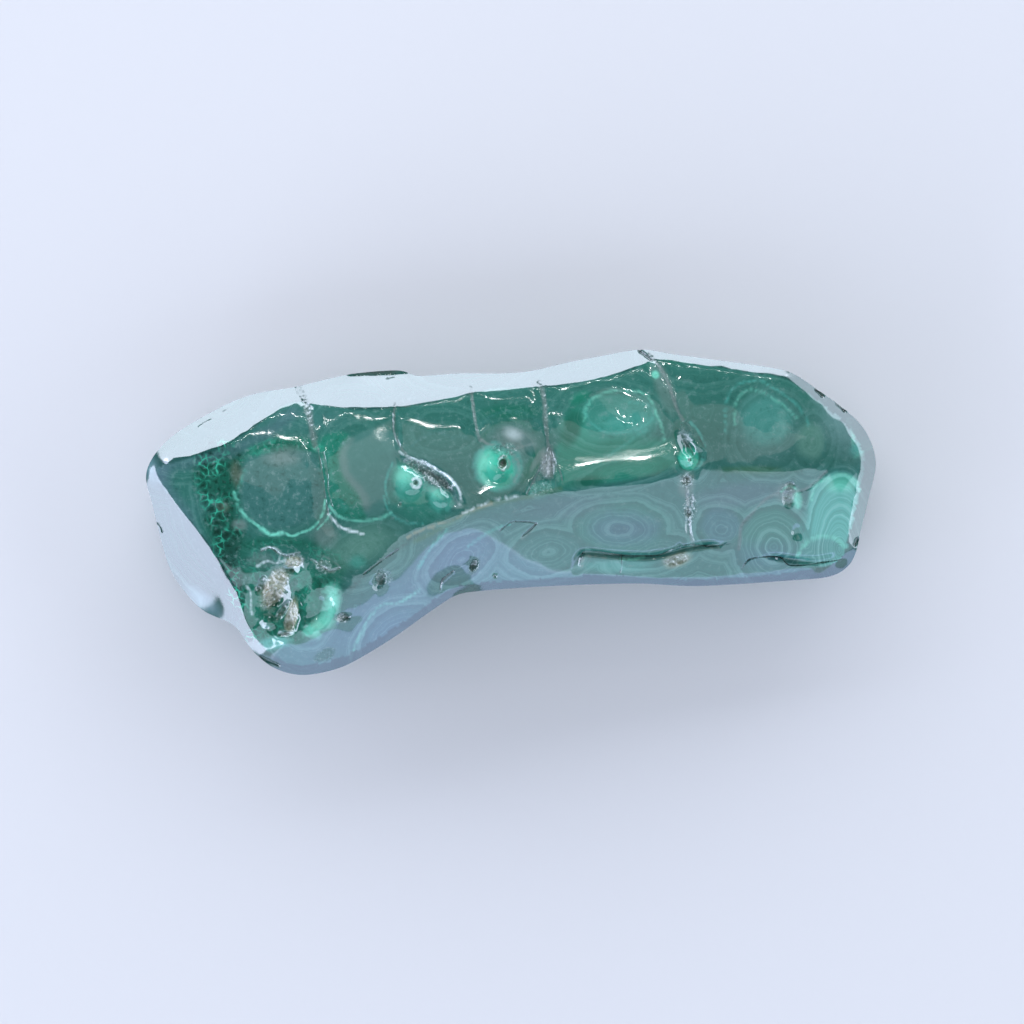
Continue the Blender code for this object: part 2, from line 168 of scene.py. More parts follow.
# Seams between the growths, rough and greyish and pressed a little into the polish: route in the
# photograph, width and depth in millimetres
seams = {
    "left": ([(299, 386), (305, 398), (309, 412), (312, 430), (316, 447)], 1.3, 0.07),
    "leftTop": ([(296, 388), (302, 400), (312, 408)], 0.5, 0.12),
    "leftLower": ([(318, 445), (321, 462), (324, 480), (326, 498), (329, 514)], 0.3, 0.06),
    "leftTwin": ([(324, 452), (328, 470), (329, 490), (333, 506)], 0.3, 0.06),
    "second": ([(395, 404), (394, 430), (401, 447), (406, 454)], 0.5, 0.05),
    "third": ([(471, 388), (474, 412), (477, 430), (480, 441)], 0.6, 0.06),
    "middle": ([(538.6, 383), (543.5, 395), (545, 412), (546, 429.5), (548.5, 447)], 0.85, 0.08),
    "middleLeft": ([(549, 447), (547, 458), (540, 469), (532, 484), (527, 494)], 0.5, 0.1),
    "middleRight": ([(549, 447), (555, 462), (560, 472), (562, 480)], 0.5, 0.1),
    "right": ([(649, 355), (659, 367), (667, 382), (672, 395), (677, 410), (682, 420)], 0.8, 0.07),
    "front": ([(688, 475), (686, 490), (688, 510), (691, 536), (694, 546)], 0.6, 0.05),
    "lobe": ([(826, 472), (806, 489), (786, 492), (769, 497), (751, 514), (741, 527), (740, 541),
        (739, 549)], 0.7, 0.05),
    "heelTop": ([(262, 551), (271, 548), (279, 553), (288, 556), (300, 553)], 0.4, 0.16),
    "heelRight": ([(312, 560), (322, 566), (331, 571), (340, 568)], 0.4, 0.16),
}

# Open cracks, narrow, deep and dark: route, width and depth
cracks = {
    "long": ([(580, 566), (581, 559), (585, 551.5), (604, 552.6), (619, 555), (639, 556), (659, 555),
        (674, 549), (689, 545), (714, 546), (731, 543)], 0.15, 0.28),
    "longStub": ([(621, 556), (622, 566), (620, 573)], 0.16, 0.1),
    "end": ([(741, 571), (749, 560), (764, 557), (781, 557.6), (789, 565), (806, 565), (821, 562.6),
        (841, 560)], 0.18, 0.3),
    "heelLine": ([(364, 574), (380, 562), (399, 549)], 0.2, 0.1),
    "bayLine": ([(440, 590), (443, 580), (454, 571)], 0.3, 0.25),
    "wedgeTop": ([(500, 531), (507, 525), (515, 521.5), (537, 523)], 0.25, 0.14),
    "wedgeLow": ([(537, 523), (530, 530), (522, 536.5)], 0.3, 0.16),
    "leftScratch": ([(198, 428), (203, 424), (212, 419)], 0.25, 0.05),
    "leftScratchTop": ([(222, 413), (228, 409), (233, 406)], 0.2, 0.04),
    "leftTick": ([(157, 522), (161, 527), (163, 533)], 0.25, 0.06),
    "rimNick": ([(259, 656), (268, 661), (279, 666)], 0.45, 0.22),
    "backNick": ([(638, 350), (645, 355), (652, 361)], 0.4, 0.35),
    "endNick": ([(815, 389), (819, 393), (823, 397)], 0.45, 0.3),
    "endNickLow": ([(836, 403), (842, 408), (845, 412)], 0.5, 0.35),
    "sideNick": ([(858, 538), (857, 542), (855, 546)], 0.45, 0.3),
}

# Pits, holes and craters: centre in the photograph, half sizes in millimetres, turn and depth
pits = {
    "eyeCrater": ((503, 464), (0.75, 0.75), 0, 0.45),
    "twinCrater": ((416, 483), (0.6, 0.6), 0, 0.35),
    "twinDot": ((401, 504), (0.3, 0.3), 0, 0.15),
    "dropDot": ((689, 460), (0.4, 0.4), 0, 0.2),
    "bayPit": ((474, 565), (0.6, 1.1), -25, 0.45),
    "bayDot": ((495, 576), (0.3, 0.4), 0, 0.25),
    "frontPit": ((342, 617), (1.1, 0.7), 25, 0.5),
    "ridgePit": ((381, 577), (0.9, 1.3), -10, 0.4),
    "lobePit": ((788, 500), (1.1, 1.4), 0, 0.25),
    "lobePitTop": ((790, 485), (0.9, 0.7), 0, 0.25),
    "seamPit": ((677, 560), (1.9, 0.9), 15, 0.25),
    "lowPit": ((686, 480), (0.8, 0.7), 0, 0.35),
    "lowPitTwo": ((688, 512), (0.6, 0.8), 0, 0.2),
    "pocketOne": ((262, 585), (1.0, 1.8), -20, 0.5),
    "pocketTwo": ((284, 609), (0.7, 2.1), -35, 0.45),
    "pocketThree": ((285, 634), (1.3, 0.5), 5, 0.4),
}

# Where the mesh is cut finest, besides along the marks: centre and half sizes in the photograph
fineAreas = [
    ((418, 480), (48, 40)), ((502, 455), (34, 34)), ((548, 474), (26, 22)), ((687, 448), (22, 34)),
    ((288, 592), (50, 56)), ((284, 530), (46, 18)),
]


def thickenMesh(bm, edges):
    # cuts edges in half; the base has many corners and stays one face
    bmesh.ops.subdivide_edges(bm, edges=edges, cuts=1, use_grid_fill=True)
    odd = [face for face in bm.faces if 3 < len(face.verts) < 9]
    bmesh.ops.triangulate(bm, faces=odd)


def isBase(face):
    return face.normal.z < -0.999 and face.calc_center_median().z < skin["flat"]


def onRim(vert):
    tilts = [face.normal.z for face in vert.link_faces]
    return (vert.co.z > skin["upperPart"] * mm and max(tilts) > skin["upFacing"]
            and min(tilts) < skin["wallFacing"])


def nearMarks(bm, reach, ovals=()):
    # the edges on the upper part that lie near an open mark or inside one of the ovals
    middles = np.array([(edge.verts[0].co + edge.verts[1].co)[:2] for edge in bm.edges]) / 2 / mm
    above = np.array([edge.verts[0].co.z > skin["upperPart"] * mm
                      and edge.verts[0].normal.z > skin["upFacing"] for edge in bm.edges])
    near = np.zeros(len(middles), bool)
    for line in openMarks:
        near |= gapTo(middles, line)[0] < reach
    for at, size, turn, share in ovals:
        near |= ovalShare(middles, fromPhoto(at), size, turn) < share
    return [edge for edge, wanted in zip(bm.edges[:], near & above) if wanted]


node = frame["nodes"]["malachite_stone"]
bm = bmesh.new()
bm.from_mesh(node.data)
bmesh.ops.remove_doubles(bm, verts=bm.verts[:], dist=skin["weld"])
bmesh.ops.recalc_face_normals(bm, faces=bm.faces[:])
bmesh.ops.dissolve_faces(bm, faces=[face for face in bm.faces if isBase(face)])
bm.verts.ensure_lookup_table()
plan = np.array([vert.co[:2] for vert in bm.verts]) / mm
marked = {"base": np.array([vert.co.z < skin["flat"] for vert in bm.verts])}
marked["rim"] = np.array([onRim(vert) for vert in bm.verts])
raised = np.array([vert.co.z > skin["crest"] * mm and vert.normal.z > skin["upFacing"] for vert in bm.verts])
for name, route in groundEdges.items():
    gap = gapTo(plan, softLine(route, 0.05, closed=name == "shoulder"))[0]
    marked[name] = (gap < skin["edgeMark"]) & raised & ~marked["rim"]
kinds = {name: number for number, name in enumerate(marked, start=1)}
for name in marked:
    bm.verts.layers.float.new(name)
for name, wanted in marked.items():
    layer = bm.verts.layers.float[name]
    for vert, flag in zip(bm.verts, wanted):
        vert[layer] = float(flag)
print("merged solid:", len(bm.faces), "faces;", {name: int(flags.sum()) for name, flags in marked.items()})

thickenMesh(bm, [edge for edge in bm.edges if not all(isBase(face) for face in edge.link_faces)])
top = [edge for edge in bm.edges if all(vert.co.z > skin["upperPart"] * mm for vert in edge.verts)
       and sum(face.normal.z for face in edge.link_faces) > skin["topFacing"]]
thickenMesh(bm, top)
openMarks = [softLine(fromPhoto(route)) for group in (seams, cracks) for route, wide, deep in group.values()]
fineOvals = [(at, size, turn, skin["pitReach"]) for at, size, turn, deep in pits.values()]
fineOvals += [(at, sizeFromPhoto(size), 0, 1) for at, size in fineAreas]
thickenMesh(bm, nearMarks(bm, skin["fineReach"], fineOvals))
thickenMesh(bm, nearMarks(bm, skin["finestReach"]))
bmesh.ops.recalc_face_normals(bm, faces=bm.faces[:])
print("cut finer:", len(bm.faces), "faces")

place = np.array([vert.co for vert in bm.verts], float) / mm
kind = np.zeros(len(place), int)
for name, number in kinds.items():
    layer = bm.verts.layers.float[name]
    kind[np.array([vert[layer] > 0.99 for vert in bm.verts])] = number
tilt = np.array([vert.normal.z for vert in bm.verts])
ends = np.array([(edge.verts[0].index, edge.verts[1].index) for edge in bm.edges])
stoneMesh = bpy.data.meshes.new(skin["name"])
bm.to_mesh(stoneMesh)
bm.free()


def insideLine(places, line):
    # which places a closed line goes round
    inside = np.zeros(len(places), bool)
    for (x1, y1), (x2, y2) in zip(line, np.roll(line, -1, axis=0)):
        if y1 != y2:
            crosses = (places[:, 1] > min(y1, y2)) & (places[:, 1] <= max(y1, y2))
            inside ^= crosses & (places[:, 0] < x1 + (places[:, 1] - y1) / (y2 - y1) * (x2 - x1))
    return inside


def settle(values, rounds, pushes, bound, moving):
    # moves points towards their neighbours: a bound point follows only its own kind
    both = np.concatenate([ends, ends[:, ::-1]])
    follows = np.where(bound[both[:, 0]] & (kind[both[:, 0]] != kind[both[:, 1]]), 0.0, 1.0)
    total = np.maximum(np.bincount(both[:, 0], follows, len(values)), 1e-9)
    for _ in range(rounds):
        for push in pushes:
            mean = np.stack([np.bincount(both[:, 0], follows * values[both[:, 1], axis], len(values))
                             / total for axis in range(3)], axis=1)
            values = values + push * moving[:, None] * (mean - values)
    return values


def polishStone(values):
    # the first pushes take the flats off without shrinking, then each side facet is drawn tight between
    # its two edges, then the worn shoulder and the sides of some seams, and last the edges are rubbed
    everywhere = np.ones(len(values))
    start = values[:, :2]
    shoulderLine = softLine(groundEdges["shoulder"], 0.2, closed=True)
    worn = np.zeros(len(values))
    for left, right in wornShoulder.values():
        stretch = shoulderLine[(shoulderLine[:, 0] > left) & (shoulderLine[:, 0] < right)]
        worn = np.maximum(worn, nearShare(start, stretch, polish["wornReach"]))
    kind[(kind == kinds["shoulder"]) & (worn > polish["fullyWorn"])] = 0
    besideSeam = np.zeros(len(values))
    for route in [softSeams["route"]] + [seams[name][0] for name in softSeams["named"]]:
        besideSeam = np.maximum(besideSeam, nearShare(start, softLine(fromPhoto(route)), polish["seamReach"]))
    values = settle(values, polish["rounds"], polish["pushes"], kind > 0, everywhere)
    free = (kind == 0) & (tilt > skin["upFacing"])
    onFacet = ~insideLine(values[:, :2], shoulderLine) & (values[:, 2] > skin["upperPart"]) & free
    hollow = sizeFromPhoto(backHollow["size"])
    onFacet &= ovalShare(values[:, :2], fromPhoto(backHollow["at"]), hollow, 0) > 1
    values = settle(values, polish["facetRounds"], polish["pull"], kind > 0, onFacet.astype(float))
    values = settle(values, polish["wornRounds"], polish["pull"], kind > 0, worn * free)
    besideSeam *= (kind == 0) & ~onFacet
    values = settle(values, polish["seamRounds"], polish["pull"], kind > 0, besideSeam)
    base, rim = kind == kinds["base"], kind == kinds["rim"]
    values = settle(values, polish["edgeRounds"], polish["edgePull"], base | rim, (~rim).astype(float))
    values[base, 2] = 0.0
    return values


def pointNormals(mesh):
    found = np.zeros(len(mesh.vertices) * 3, np.float32)
    mesh.vertices.foreach_get("normal", found)
    return found.reshape(-1, 3)


def setPlaces(values):
    stoneMesh.vertices.foreach_set("co", (values * mm).astype(np.float32).ravel())
    stoneMesh.update()


place = polishStone(place)
low, high = place.min(0), place.max(0)
wantedLow, wantedHigh = np.array(cadBox[0]) / mm, np.array(cadBox[1]) / mm
place = wantedLow + (place - low) * (wantedHigh - wantedLow) / (high - low)
setPlaces(place)
print("polished:", len(place), "points")

# Carve the open marks into the skin, square to it. An edge is where a mark's floor ends and where its side
# has faded, as shares of its half width. The grains are the sizes of the lumps that make marks uneven.
carving = {"seamEdge": (0.2, 1.3), "crackEdge": (0.3, 1.3), "pitEdge": (0.45, 1.1), "patchEdge": (0.7, 1.15),
           "thinnest": 0.05, "lipAt": 1.25, "lipWide": 0.18, "lipHigh": 0.07, "limits": (-0.25, 1.2),
           "wander": (1.9, 0.0), "crumbs": (0.55, 9.0)}
plan = place[:, :2]
facing = pointNormals(stoneMesh)
upward = ease(0.05, 0.3, facing[:, 2])
wander = grain(place, *carving["wander"])
crumbs = grain(place, *carving["crumbs"])
sink, dull, sparkle, seamMask, crackMask, pitMask = np.zeros((6, len(plan)))
for route, wide, deep in seams.values():
    half = wide / 2 * (1 + 0.6 * wander)
    floor = 1 - ease(*carving["seamEdge"], gapTo(plan, softLine(fromPhoto(route)))[0] / half)
    seamMask = np.maximum(seamMask, floor)
    dull = np.maximum(dull, 0.5 * floor)
    sink = np.maximum(sink, deep * floor * (0.75 + 0.9 * crumbs))
for route, wide, deep in cracks.values():
    gap, along = gapTo(plan, softLine(fromPhoto(route)))
    fade = np.clip(np.minimum(along, 1 - along) * 8 + 0.3, 0, 1)
    half = wide / 2 * (1 + 0.7 * wander + 0.3 * crumbs) * (0.5 + 0.5 * fade)
    floor = 1 - ease(*carving["crackEdge"], gap / np.maximum(half, carving["thinnest"]))
    crackMask = np.maximum(crackMask, floor)
    sink = np.maximum(sink, deep * floor * fade)
for at, size, turn, deep in pits.values():
    share = ovalShare(plan, fromPhoto(at), size, turn) * (1 + 0.2 * wander)
    bowl = 1 - ease(*carving["pitEdge"], share)
    lip = np.exp(-((share - carving["lipAt"]) / carving["lipWide"]) ** 2)
    pitMask = np.maximum(pitMask, bowl)
    sink = np.maximum(sink, deep * bowl * (1 + 0.5 * crumbs)) - carving["lipHigh"] * lip * (bowl < 0.2)

# Patches of the stone that are rougher and more broken than the rest: centre and half sizes in the
# photograph, turn, roughness in millimetres, sparkle
brokenAreas = {
    "tanRock": ((274, 587), (23, 12), 60, 0.15, 0.4),
    "tanLow": ((292, 617), (16, 6), 78, 0.12, 0.35),
    "tanTop": ((296, 560), (10, 6), 10, 0.12, 0.4),
    "tanRight": ((325, 566), (9, 6), -30, 0.12, 0.4),
    "twinHollow": ((430, 474), (28, 9), -32, 0.14, 0.45),
    "fan": ((548, 467), (9, 13), 0, 0.08, 0.25),
    "wedge": ((541, 489), (12, 7), 15, 0.12, 0.35),
    "slot": ((686, 433), (7, 14), 8, 0.08, 0.15),
    "underEye": ((686, 481), (7, 7), 0, 0.14, 0.9),
    "underEyeLow": ((690, 508), (7, 17), 0, 0.05, 0.5),
    "crackPatch": ((677, 560), (14, 6), 15, 0.12, 0.35),
    "lobeSeam": ((787, 493), (10, 9), 0, 0.06, 0.25),
    "eyeTop": ((505, 450), (13, 7), 0, 0.1, 0.35),
    "lowMarks": ((325, 655), (12, 6), 25, 0.04, 0.15),
    "ridgeMarks": ((383, 577), (9, 9), 0, 0.08, 0.35),
    "bandMarks": ((474, 566), (5, 9), -25, 0.05, 0.25),
}
for at, size, turn, rough, glitter in brokenAreas.values():
    share = ovalShare(plan, fromPhoto(at), sizeFromPhoto(size), turn)
    mask = 1 - ease(*carving["patchEdge"], share * (1 + 0.2 * wander))
    sink += rough * mask * (0.9 * wander + 1.1 * crumbs)
    dull = np.maximum(dull, 0.7 * mask)
    sparkle = np.maximum(sparkle, glitter * mask)
place = place - facing * (np.clip(sink, *carving["limits"]) * upward)[:, None]
setPlaces(np.clip(place, wantedLow, wantedHigh))
plan = place[:, :2]
print("carved:", len(seams), "seams,", len(cracks), "cracks,", len(pits), "pits,",
      len(brokenAreas), "patches")

# Growths that the colour bands run round: centre in the photograph, radius in millimetres, shape, turn
growths = {
    "leftRound": ((284, 489), 6.4, (1.0, 1.0), 0),
    "second": ((359, 468), 5.6, (0.9, 1.25), 8),
    "heelTop": ((365, 552), 4.5, (1.3, 0.9), 25),
    "eyeTwin": ((409, 480), 2.8, (1.0, 1.0), 0),
    "eyeTwinRight": ((440, 500), 2.2, (1.2, 0.9), -35),
    "eyeRound": ((500, 466), 3.4, (1.0, 1.0), 0),
    "backThird": ((445, 432), 4.0, (1.3, 0.8), 0),
    "ovalDish": ((610, 418), 5.4, (1.4, 0.85), -4),
    "underStreak": ((626, 472), 3.2, (2.4, 0.6), 12),
    "dropEye": ((688, 459), 1.8, (1.0, 1.1), 0),
    "rightBig": ((771, 430), 6.0, (0.95, 1.1), -25),
    "rightSmall": ((811, 442), 4.0, (0.8, 1.1), 0),
    "endTop": ((840, 550), 11.0, (0.5, 1.07), 0),
    "endLow": ((821, 560), 3.9, (1.4, 0.95), 0),
    "endLeft": ((774, 547), 6.8, (0.95, 1.0), 0),
    "frontOval": ((619, 529), 5.6, (1.4, 0.8), 0),
    "frontSmall": ((721, 529), 3.8, (1.05, 0.95), 0),
    "frontUnder": ((655, 552), 3.5, (1.7, 0.7), 15),
    "frontLeft": ((548, 552), 4.6, (1.4, 0.8), 8),
    "bay": ((462, 560), 4.2, (1.4, 0.8), 35),
    "heel": ((310, 606), 3.6, (0.9, 1.3), -15),
    "heelLens": ((400, 640), 6.4, (1.1, 0.8), 35),
    "backLeft": ((230, 400), 5.0, (1.4, 0.8), 30),
    "backMiddle": ((470, 360), 6.0, (1.6, 0.8), 0),
    "backRight": ((705, 350), 6.0, (1.5, 0.9), 0),
}
below = {"pivot": 13.0, "stretch": 0.55}  # the growths' bands close again down the flanks


def growthDepth(points):
    # how far each point is outside the nearest growth, in millimetres: the bands follow this
    nearest = np.full(len(points), 99.0)
    drop = np.minimum(points[:, 2] - below["pivot"], 0.0) * below["stretch"]
    for at, radius, shape, turn in growths.values():
        reach = ovalShare(points[:, :2], fromPhoto(at), shape, turn)
        nearest = np.minimum(nearest, np.hypot(reach, drop) - radius)
    return nearest


# The stone's own colours, and some that are laid as painted highlights and painted reflections, as they look
# on a screen from 0 to 255
pigments = {
    "deep": (8, 72, 54), "forest": (16, 86, 66), "jade": (22, 106, 82), "leaf": (32, 116, 92),
    "veil": (40, 92, 80), "smoke": (52, 98, 90), "mottle": (92, 134, 116), "reflectionFog": (122, 152, 150),
    "bright": (56, 162, 132), "fresh": (60, 138, 118), "mint": (112, 200, 170),
    "pearl": (214, 228, 224), "teal": (48, 100, 92), "lagoon": (70, 150, 134), "reflectionMist": (84, 116, 118),
    "slate": (68, 92, 98), "violet": (48, 76, 88), "steel": (56, 96, 104), "tan": (150, 146, 116),
    "rust": (138, 118, 80), "umber": (76, 84, 68), "ash": (106, 122, 114), "olive": (58, 98, 66),
    "ink": (14, 40, 34), "rose": (132, 134, 132), "shadow": (18, 60, 54), "flint": (96, 108, 104),
    "haze": (60, 104, 94),
}


def pigment(name):
    share = np.array(pigments[name]) / 255
    return np.where(share <= 0.04045, share / 12.92, ((share + 0.055) / 1.055) ** 2.4)


# What the stone has outside all regions, and how much of the bands and clouds a dark facet loses
ground = {"colour": "forest", "bands": 0.62, "clouds": 0.12}
facets = {"colour": "shadow", "strength": 0.85, "fewerBands": 0.75, "fewerClouds": 0.7, "flank": (0.5, 7.5)}
paint = np.tile(pigment(ground["colour"]), (len(place), 1))
bandStrength = np.full(len(place), ground["bands"])
cloudStrength = np.full(len(place), ground["clouds"])
cellStrength = np.zeros(len(place))


def lay(mask, name, strength=1.0):
    paint[:] += (pigment(name) - paint) * (mask * strength)[:, None]


def areaMask(corners, soft):
    # 1 inside an outline given by places in the photograph, fading over a few millimetres
    line = softLine(fromPhoto(corners), 0.3, closed=True)
    inside = insideLine(plan, line)
    gap = gapTo(plan, line)[0]
    return ease(-soft, soft, np.where(inside, gap, -gap) + 0.5 * soft * wander) * upward


def ovalMask(at, size, turn, soft):
    share = ovalShare(plan, fromPhoto(at), sizeFromPhoto(size), turn)
    share = share * (1 + 0.14 * wander + 0.06 * crumbs)
    return (1 - ease(1 - soft, 1 + soft * 0.6, share)) * upward


def strokeMask(route, wide, soft=0.5):
    gap = gapTo(plan, softLine(fromPhoto(route)))[0]
    half = wide * photo["mmPerPixel"] / 2 * (1 + 0.5 * wander + 0.3 * crumbs)
    return (1 - ease(half * (1 - soft), half * (1 + soft) + 0.12, gap)) * upward


# Whole regions: colour, strength, softness in millimetres, how much of the bands, clouds and cells
# shows, and the outline in the photograph
regions = {
    "upperFace": ("veil", 0.95, 1.4, 0.2, 0.4, 0.0, [(150, 470), (215, 425), (295, 388), (400, 392),
        (545, 372), (650, 362), (790, 370), (850, 400), (876, 440), (850, 470), (700, 474), (560, 492),
        (505, 500), (440, 530), (345, 600), (262, 645), (215, 590), (180, 520)]),
    "frontFace": ("teal", 0.8, 1.2, 0.55, 0.3, 0.0, [(262, 642), (300, 640), (330, 625), (346, 596),
        (375, 575), (400, 551), (440, 527), (470, 512), (505, 500), (530, 494), (560, 488), (600, 482),
        (640, 474), (680, 470), (704, 470), (739, 476), (786, 475), (812, 470), (850, 466), (884, 470),
        (884, 600), (700, 600), (440, 620), (300, 690), (244, 650)]),
    "darkCells": ("deep", 0.92, 1.0, 0.1, 0.6, 1.0, [(196, 452), (222, 441), (243, 452), (244, 480),
        (237, 512), (248, 545), (250, 572), (246, 596), (258, 634), (246, 640), (228, 590), (212, 545),
        (200, 500)]),
    "heelDark": ("forest", 0.85, 0.8, 0.2, 0.6, 0.3, [(240, 548), (275, 538), (318, 546), (345, 560),
        (338, 600), (318, 630), (290, 646), (262, 640), (246, 600)]),
    "leftRoundField": ("smoke", 0.85, 0.7, 0.07, 0.75, 0.0, [(242, 470), (258, 452), (290, 446), (316, 456),
        (322, 490), (316, 515), (285, 528), (262, 524), (244, 505)]),
    "secondField": ("jade", 0.7, 0.5, 0.1, 0.8, 0.0, [(320, 444), (340, 432), (352, 440), (344, 470),
        (364, 500), (364, 520), (340, 515), (328, 498)]),
    "secondPale": ("haze", 0.85, 0.35, 0.05, 0.15, 0.0, [(352, 438), (342, 452), (340, 463), (345, 476),
        (356, 489), (363, 501), (366, 514), (384, 512), (388, 484), (398, 460), (399, 436), (372, 430)]),
    "leftRoundTop": ("jade", 0.7, 0.5, 0.2, 0.7, 0.4, [(252, 446), (285, 438), (320, 442), (322, 452),
        (285, 450), (250, 456)]),
    "greenMiddle": ("leaf", 0.85, 1.2, 0.35, 0.15, 0.0, [(562, 432), (575, 408), (600, 440), (665, 440),
        (684, 462), (640, 474), (600, 480), (560, 486), (556, 460)]),
    "endLobe": ("lagoon", 0.75, 0.6, 1.0, 0.05, 0.0, [(808, 500), (812, 484), (836, 474), (858, 482),
        (866, 520), (856, 560), (830, 566), (800, 562), (800, 530)]),
    "endLobeLeft": ("teal", 0.5, 0.6, 0.8, 0.08, 0.0, [(744, 530), (756, 506), (786, 498), (806, 508),
        (804, 540), (796, 562), (746, 562)]),
    "twinHollow": ("slate", 0.6, 0.3, 0.1, 0.7, 0.0, [(402, 458), (420, 468), (440, 477), (455, 491),
        (458, 505), (447, 511), (430, 496), (412, 478)]),
}
for colour, strength, soft, bands, clouds, cells, outline in regions.values():
    mask = areaMask(outline, soft)
    lay(mask, colour, strength)
    bandStrength += (bands - bandStrength) * mask
    cloudStrength += (clouds - cloudStrength) * mask
    cellStrength += (cells - cellStrength) * mask

